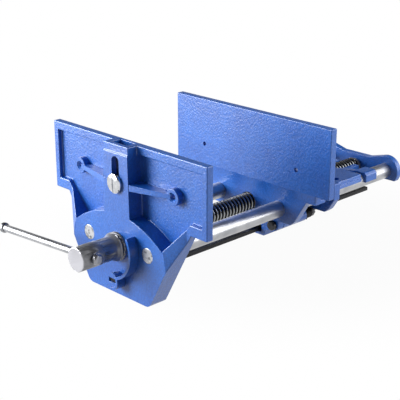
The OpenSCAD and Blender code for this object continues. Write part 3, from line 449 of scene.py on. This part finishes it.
def turned(name, profile, origin, direction, sides=96, reach=0.0004):
    # a profile of (distance along, radius) carried round an axis: origin + along * axis + radius * (cos, sin)
    profile = roundCorners(profile, reach)
    axis = np.array(direction, float) / np.linalg.norm(direction)
    slanted = (0.3, 0.1, 1.0)  # no axis lies along this
    side = np.cross(axis, slanted)
    side /= np.linalg.norm(side)
    up = np.cross(axis, side)
    angle = np.arange(sides) * 2 * np.pi / sides
    ring = np.cos(angle)[:, None] * side + np.sin(angle)[:, None] * up
    points = np.array(origin) + profile[:, 0, None, None] * axis + profile[:, 1, None, None] * ring[None]
    return meshObject(name, points.reshape(-1, 3), gridFaces(len(profile), sides))


# Merged copies of CAD nodes with rounded edges, for castings and machined parts
edgeSettings = {
    "mergeDistance": 2e-6, "leastReach": 1e-6, "rimSlack": 0.0003,
    "flatAngle": 0.4, "quadAngle": 60, "creaseAngle": 17,
    "share": 0.42,  # of the room beside an edge, that its rounding may take
    "straight": 0.9,  # cosine from which the next edge carries straight on
    "passes": 24,  # each carries a narrow width at least one vertex further along its rim
}


def mergedCopy(node, name):
    # a CAD node's mesh is loose triangles, so a copy is merged before any edge is found on it
    mesh = nodes[node].data.copy()
    mesh.name = name
    work = bmesh.new()
    work.from_mesh(mesh)
    bmesh.ops.remove_doubles(work, verts=work.verts, dist=edgeSettings["mergeDistance"])
    return mesh, work


def joinFlats(work):
    bmesh.ops.dissolve_limit(work, angle_limit=math.radians(edgeSettings["flatAngle"]),
                             verts=work.verts, edges=work.edges)
    bmesh.ops.recalc_face_normals(work, faces=work.faces)


def faceReach(loop):
    # how far the face reaches inwards from the middle of the loop's edge, square to it
    a, b = loop.vert.co, loop.link_loop_next.vert.co
    along = (b - a).normalized()
    inward = loop.face.normal.cross(along)
    middle = (a + b) / 2
    flat = [((v.co - middle).dot(along), (v.co - middle).dot(inward)) for v in loop.face.verts]
    reach = 1.0  # further than any face goes
    for (u0, w0), (u1, w1) in zip(flat, flat[1:] + flat[:1]):
        if (u0 < 0) != (u1 < 0):
            w = w0 - u0 * (w1 - w0) / (u1 - u0)
            if w > edgeSettings["leastReach"]:
                reach = min(reach, w)
    return reach


def onBore(co, bore):
    x, z, radius = bore
    return abs(math.hypot(co.x - x, co.z - z) - radius) < edgeSettings["rimSlack"]


def edgeRoom(edge):
    # the least of how far the two faces reach and how long the next edges round the corners are
    along = (edge.verts[1].co - edge.verts[0].co).normalized()
    room = [faceReach(loop) for loop in edge.link_loops]
    for vert in edge.verts:
        for other in vert.link_edges:
            if other is not edge:
                turn = abs((other.other_vert(vert).co - vert.co).normalized().dot(along))
                if turn < edgeSettings["straight"]:
                    room.append(other.calc_length())
    return min(room)


def evenWeights(work, weight):
    # along a rim, where two creases meet and no third, the rounding takes the narrower width of the two
    for _ in range(edgeSettings["passes"]):
        changed = False
        for vert in work.verts:
            rim = [e for e in vert.link_edges if e.tag]
            if len(rim) == 2:
                low = min(e[weight] for e in rim)
                changed = changed or any(e[weight] > low for e in rim)
                for e in rim:
                    e[weight] = low
        if not changed:
            break


def roundedCopy(node, bevelMm, crispBores=(), segments=3):
    # bores along Y, given as (x, z, radius), keep crisp rims, and the rounding narrows where room is short
    mesh, work = mergedCopy(node, node + "Form")
    joinFlats(work)
    bmesh.ops.triangulate(work, faces=[f for f in work.faces if len(f.verts) > 4])
    bmesh.ops.join_triangles(work, faces=work.faces,
                             angle_face_threshold=math.radians(edgeSettings["flatAngle"]),
                             angle_shape_threshold=math.radians(edgeSettings["quadAngle"]))
    weight = work.edges.layers.float.new("bevel_weight_edge")
    width = bevelMm / 1000
    creaseAngle = math.radians(edgeSettings["creaseAngle"])
    for edge in work.edges:
        edge.tag = len(edge.link_faces) == 2 and edge.calc_face_angle(0) > creaseAngle
        crisp = any(all(onBore(vert.co, bore) for vert in edge.verts) for bore in crispBores)
        if edge.tag and not crisp:
            edge[weight] = min(1.0, edgeSettings["share"] * edgeRoom(edge) / width)
    evenWeights(work, weight)
    work.to_mesh(mesh)
    work.free()
    piece = placeObject(node + "Cast", mesh)
    smoothShade(mesh, edgeSettings["creaseAngle"])
    roundEdges(piece, {"limit_method": "WEIGHT", "width": width, "segments": segments,
                       "use_clamp_overlap": False})
    return piece


# Castings
def rodBores(radius):
    return [(side * vise["rodX"], vise["rodZ"], radius) for side in (-1, 1)]


castingSettings = {
    "front_jaw": {"bevelMm": 1.2, "crispBores": rodBores(vise["rodEndRadius"]) + rodBores(vise["rodRadius"])
                  + [(0.0, vise["screwZ"], vise["journalRadius"])]},
    "fixed_jaw": {"bevelMm": 1.0, "crispBores": rodBores(vise["rodRadius"])},
    "rear_yoke": {"bevelMm": 0.9, "crispBores": rodBores(vise["rodRadius"])},
    "nut_carrier": {"bevelMm": 0.8},
    "release_lever": {"bevelMm": 0.6},
}
for node, settings in castingSettings.items():
    settle(roundedCopy(node, **settings), node, "enamel")
    print("casting", node)

# Machined parts keep the CAD form, with broken edges
machinedSettings = {
    "dog": {"bevelMm": 0.5, "finishName": "machined"},
    "dog_screw": {"bevelMm": 0.25, "finishName": "chrome"},
    "trip_bar": {"bevelMm": 0.3, "finishName": "black"},
    "half_nut": {"bevelMm": 0.4, "finishName": "machined"},
    "pivot_nut": {"bevelMm": 0.2, "finishName": "blackBolt"},
    "half_nut_screws": {"bevelMm": 0.2, "finishName": "zinc"},
    "yoke_pins": {"bevelMm": 0.2, "finishName": "zinc"},
    "collar_pin": {"bevelMm": 0.2, "finishName": "zinc"},
    "lever_pin": {"bevelMm": 0.2, "finishName": "zinc"},
    "trip_bar_pin": {"bevelMm": 0.2, "finishName": "zinc"},
    "thrust_collar": {"bevelMm": 0.3, "finishName": "machined"},
    "pivot_bolt": {"bevelMm": 0.3, "finishName": "blackBolt"},
}
for node, settings in machinedSettings.items():
    settle(roundedCopy(node, settings["bevelMm"], segments=2), node, settings["finishName"])
print("machined parts made")

# Guide rods: a spigot in the front casting, a shoulder, then the ground bar to the yoke's back
rodSettings = {"bevel": 0.0008, "shoulder": 0.01785, "backY": 0.1396}


def rodProfile(settings):
    bevel, shoulder = settings["bevel"], settings["shoulder"]
    full, spigot, length = vise["rodRadius"], vise["rodEndRadius"], settings["backY"] - vise["hubY"]
    return [(0, 0), (0, spigot - bevel), (0, spigot - bevel / 2), (bevel / 2, spigot),
            (shoulder, spigot), (shoulder, full - bevel / 2), (shoulder + bevel / 2, full),
            (length - bevel, full), (length, full - bevel), (length, 0)]


for side, node in ((-1, "guide_rod_left"), (1, "guide_rod_right")):
    foot = (side * vise["rodX"], vise["hubY"], vise["rodZ"])
    settle(turned(node + "Ground", rodProfile(rodSettings), foot, (0, 1, 0)), node, "ground")

# Tommy bar, with its places measured along it from the screw's axis
barSettings = {"y": -0.2928, "tilt": math.radians(4), "left": -0.1458, "right": 0.0177, "radius": 0.004,
               "sides": 64}
barMiddle = np.array((0, barSettings["y"], vise["screwZ"]))
barDirection = np.array((math.cos(barSettings["tilt"]), 0, math.sin(barSettings["tilt"])))
barProfile = [(barSettings["left"], 0), (barSettings["left"], barSettings["radius"]),
              (barSettings["right"], barSettings["radius"]), (barSettings["right"], 0)]
tommyBar = turned("tommyBarGround", barProfile, barMiddle, barDirection, barSettings["sides"])
settle(tommyBar, "tommy_bar", "ground")

# Each knob is turned from its outer end inwards, with the blind hole that the bar seats in
knobSettings = {
    "left": -0.147, "right": 0.0189, "reach": 0.0007,
    "profile": [(0, 0), (0, 0.0040), (0.0009, 0.0052), (0.0020, 0.0056), (0.0048, 0.0056), (0.0060, 0.0046),
                (0.0060, 0.00403), (0.0011, 0.00403), (0.0011, 0)],
}
for end, inward in (("left", 1), ("right", -1)):
    node = "bar_knob_" + end
    knob = turned(node + "Turned", knobSettings["profile"], barMiddle + knobSettings[end] * barDirection,
                  inward * barDirection, barSettings["sides"], knobSettings["reach"])
    settle(knob, node, "knob")
print("rods and bar made")

# Main screw: a cut thread between the head with its flange and the tail; the section is
# (share of the pitch, share of the depth)
threadSettings = {
    "pitch": 0.005, "crestRadius": 0.0100, "depth": 0.0017, "start": -0.2440, "end": 0.1261,
    "sides": 72, "mergeDistance": 1e-6, "sharpAngle": 60,
    "section": [(0.0, 0.0), (0.20, 0.0), (0.34, 0.85), (0.40, 1.0), (0.60, 1.0), (0.66, 0.85), (0.80, 0.0)],
}
screwEndSettings = {"bevel": 0.0004, "segments": 3, "bevelAngle": 32, "sharpAngle": 50}


def threadForm(settings):
    # radius = root + depth * section(along / pitch - turn), fading to the root in the last pitch at each end
    section = np.array(settings["section"])
    count = len(section)
    start, end, pitch, sides = (settings[key] for key in ("start", "end", "pitch", "sides"))
    turns = int(round((end - start) / pitch)) + 2
    rows = np.arange(-count, count * turns)
    column = np.arange(sides)[None]
    along = start + (rows // count + section[rows % count, 0])[:, None] * pitch + column / sides * pitch
    fade = np.clip((along - start) / pitch, 0, 1) * np.clip((end - along) / pitch, 0, 1)
    level = section[rows % count, 1][:, None] * fade
    radius = settings["crestRadius"] - settings["depth"] + settings["depth"] * level
    angle = -2 * np.pi * column / sides
    points = np.stack([radius * np.cos(angle), np.clip(along, start, end),
                       vise["screwZ"] + radius * np.sin(angle)], axis=-1)
    # each column's last side joins the first column one turn further on
    r = np.arange(len(rows) - 1)[:, None]
    n = (column + 1) % sides
    shift = np.where(column == sides - 1, count, 0)
    quads = np.stack([r * sides + column, (r + shift) * sides + n,
                      (r + 1 + shift) * sides + n, (r + 1) * sides + column], axis=-1)
    quads = quads[r + 1 + shift < len(rows)]
    return points.reshape(-1, 3), quads, level.reshape(-1)


def makeThread(settings):
    points, quads, crest = threadForm(settings)
    mesh = bpy.data.meshes.new("threadForm")
    mesh.from_pydata(points.tolist(), [], quads.tolist())
    worn = mesh.attributes.new("crest", "FLOAT", "POINT")
    worn.data.foreach_set("value", crest.astype(np.float32))
    cleanMesh(mesh, settings["mergeDistance"], closeEnds=True)
    smoothShade(mesh, settings["sharpAngle"])
    mesh.materials.append(finish["thread"])
    return placeObject("screwThread", mesh)


def makeScrewEnds(settings, threadStart, threadEnd):
    # the head, flange, journal and tail come from the CAD node, cut at the thread's two ends
    mesh, head = mergedCopy("main_screw", "screwEndsForm")
    tail = head.copy()
    for part, place, away in ((head, threadStart, 1), (tail, threadEnd, -1)):
        geometry = list(part.verts) + list(part.edges) + list(part.faces)
        bmesh.ops.bisect_plane(part, geom=geometry, plane_co=(0, place, 0), plane_no=(0, away, 0),
                               clear_outer=True)
        bmesh.ops.holes_fill(part, edges=openEdges(part), sides=0)
    tailMesh = bpy.data.meshes.new("tail")
    tail.to_mesh(tailMesh)
    head.from_mesh(tailMesh)
    joinFlats(head)
    head.to_mesh(mesh)
    head.free()
    tail.free()
    bpy.data.meshes.remove(tailMesh)
    piece = placeObject("screwEnds", mesh)
    roundEdges(piece, {"limit_method": "ANGLE", "angle_limit": math.radians(settings["bevelAngle"]),
                       "width": settings["bevel"], "segments": settings["segments"]})
    smoothShade(mesh, settings["sharpAngle"])
    return piece


screwThread = makeThread(threadSettings)
screwEnds = makeScrewEnds(screwEndSettings, threadSettings["start"], threadSettings["end"])
settle(screwEnds, "main_screw", "screw")
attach(screwThread, bodyOf["main_screw"])
print("screw made,", len(screwThread.data.polygons), "thread faces")

# Torsion spring of the half nut's carrier, round the carrier's pivot
springSettings = {"x": 0.038, "z": -0.041, "radius": 0.0054, "wire": 0.0009, "turns": 4, "pitch": 0.0023,
                  "leg": 0.005, "sides": 16, "steps": 48, "sharpAngle": 60}


def springForm(settings, start):
    # a round wire carried along a helix about the pivot, with a straight leg at each end
    t = np.arange(settings["turns"] * settings["steps"] + 1) / settings["steps"]
    a = 2 * np.pi * t
    helix = np.stack([settings["x"] + settings["radius"] * np.cos(a), start + settings["pitch"] * t,
                      settings["z"] + settings["radius"] * np.sin(a)], axis=-1)
    leg = np.array([0, 0, settings["leg"]])
    path = np.concatenate([helix[:1] - leg, helix, helix[-1:] + leg])
    out = np.stack([np.cos(a), 0 * a, np.sin(a)], axis=-1)
    out = np.concatenate([out[:1], out, out[-1:]])
    b = np.arange(settings["sides"]) * 2 * np.pi / settings["sides"]
    alongY = np.array([0, 1, 0])
    ring = path[:, None] + settings["wire"] * (np.cos(b)[None, :, None] * out[:, None]
                                                + np.sin(b)[None, :, None] * alongY)
    # the wire's two ends close on a point each
    first = np.repeat(path[:1, None], settings["sides"], axis=1)
    last = np.repeat(path[-1:, None], settings["sides"], axis=1)
    ring = np.concatenate([first, ring, last])
    return ring.reshape(-1, 3), gridFaces(len(ring), settings["sides"])


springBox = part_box("nut_spring")
coilPoints, coilFaces = springForm(springSettings, springBox[0].y + springSettings["wire"])
coil = meshObject("carrierSpring", coilPoints, coilFaces, springSettings["sharpAngle"])
settle(coil, "nut_spring", "spring")
print("spring made")

# Floor, lamps and background
stageSettings = {
    "floorZ": -0.0762, "floorHalf": 9.0, "matt": "#8c8c8c",
    "shadowFrom": 0.15, "shadowReach": 0.34, "shadowShare": 0.96,
    "diffuseSky": 0.15, "ceiling": 0.10, "horizon": (0.04, 0.26), "aim": (0, -0.1, 0),
    "lamps": {
        "keyLight": {"place": (-1.15, -1.5, 0.46), "watts": 37, "size": 1.0},
        "leftLight": {"place": (-0.65, -0.75, 0.20), "watts": 6.8, "size": 0.55},
        "rightLight": {"place": (0.80, 0.60, 0.50), "watts": 16, "size": 1.1},
    },
}
plainWhite = (1, 1, 1, 1)


def whitePaper(settings):
    # matt paper that shows the object's shadow near the object and fades to plain white further out
    material = bpy.data.materials.new("whitePaper")
    tree = emptyTree(material)
    matt = addNode(tree, "ShaderNodeBsdfDiffuse", {"Color": linear(settings["matt"])})
    white = addNode(tree, "ShaderNodeEmission", {"Color": plainWhite, "Strength": 1.0})
    ray = addNode(tree, "ShaderNodeLightPath").outputs
    direct = addNode(tree, "ShaderNodeMath", {"operation": "MAXIMUM"},
                     {0: ray["Is Camera Ray"], 1: ray["Is Glossy Ray"]})
    seen = addNode(tree, "ShaderNodeMath", {"operation": "MAXIMUM"},
                   {0: direct.outputs[0], 1: ray["Is Transmission Ray"]})
    coords = addNode(tree, "ShaderNodeTexCoord").outputs["Object"]
    far = addNode(tree, "ShaderNodeVectorMath", {"operation": "LENGTH"}, {0: coords})
    share = addNode(tree, "ShaderNodeMapRange",
                    {"interpolation_type": "SMOOTHSTEP", "From Min": settings["shadowFrom"],
                     "From Max": settings["shadowReach"], "To Min": settings["shadowShare"], "To Max": 1.0},
                    {"Value": far.outputs["Value"]})
    shown = addNode(tree, "ShaderNodeMath", {"operation": "MULTIPLY"},
                    {0: seen.outputs[0], 1: share.outputs[0]})
    mixed = addNode(tree, "ShaderNodeMixShader",
                    links={0: shown.outputs[0], 1: matt.outputs[0], 2: white.outputs[0]})
    addNode(tree, "ShaderNodeOutputMaterial", links={"Surface": mixed.outputs[0]})
    return material


def makeFloor(settings):
    half, z = settings["floorHalf"], settings["floorZ"]
    mesh = bpy.data.meshes.new("floor")
    corners = [(-half, -half, z), (half, -half, z), (half, half, z), (-half, half, z)]
    mesh.from_pydata(corners, [], [(0, 1, 2, 3)])
    mesh.materials.append(whitePaper(settings))
    floor = placeObject("floor", mesh)


def makeStudio(settings):
    # plain white to the camera; mirrors see a white backdrop at the horizon and a dim ceiling above it
    world = bpy.data.worlds.new("studio")
    scene.world = world
    tree = emptyTree(world)
    ray = addNode(tree, "ShaderNodeLightPath").outputs
    direction = addNode(tree, "ShaderNodeTexCoord").outputs["Generated"]
    height = addNode(tree, "ShaderNodeSeparateXYZ", links={0: direction}).outputs[2]
    low, high = settings["horizon"]
    backdrop = addNode(tree, "ShaderNodeMapRange",
                       {"From Min": low, "From Max": high, "To Min": 1.0, "To Max": settings["ceiling"]},
                       {"Value": height})
    mirrored = addNode(tree, "ShaderNodeMapRange", {"To Min": settings["diffuseSky"]},
                       {"Value": ray["Is Glossy Ray"], "To Max": backdrop.outputs[0]})
    plain = addNode(tree, "ShaderNodeMath", {"operation": "MAXIMUM"},
                    {0: ray["Is Camera Ray"], 1: ray["Is Transmission Ray"]})
    strength = addNode(tree, "ShaderNodeMapRange", {"To Max": 1.0},
                       {"Value": plain.outputs[0], "To Min": mirrored.outputs[0]})
    sky = addNode(tree, "ShaderNodeBackground", {"Color": plainWhite}, {"Strength": strength.outputs[0]})
    addNode(tree, "ShaderNodeOutputWorld", links={"Surface": sky.outputs[0]})


def makeLamps(settings):
    for name, lampSettings in settings["lamps"].items():
        data = bpy.data.lights.new(name, "AREA")
        data.energy, data.size = lampSettings["watts"], lampSettings["size"]
        lamp = placeObject(name, data)
        lamp.location = lampSettings["place"]
        lamp.rotation_euler = facing(Vector(settings["aim"]) - Vector(lampSettings["place"]))


makeFloor(stageSettings)
makeStudio(stageSettings)
makeLamps(stageSettings)
print("stage made")
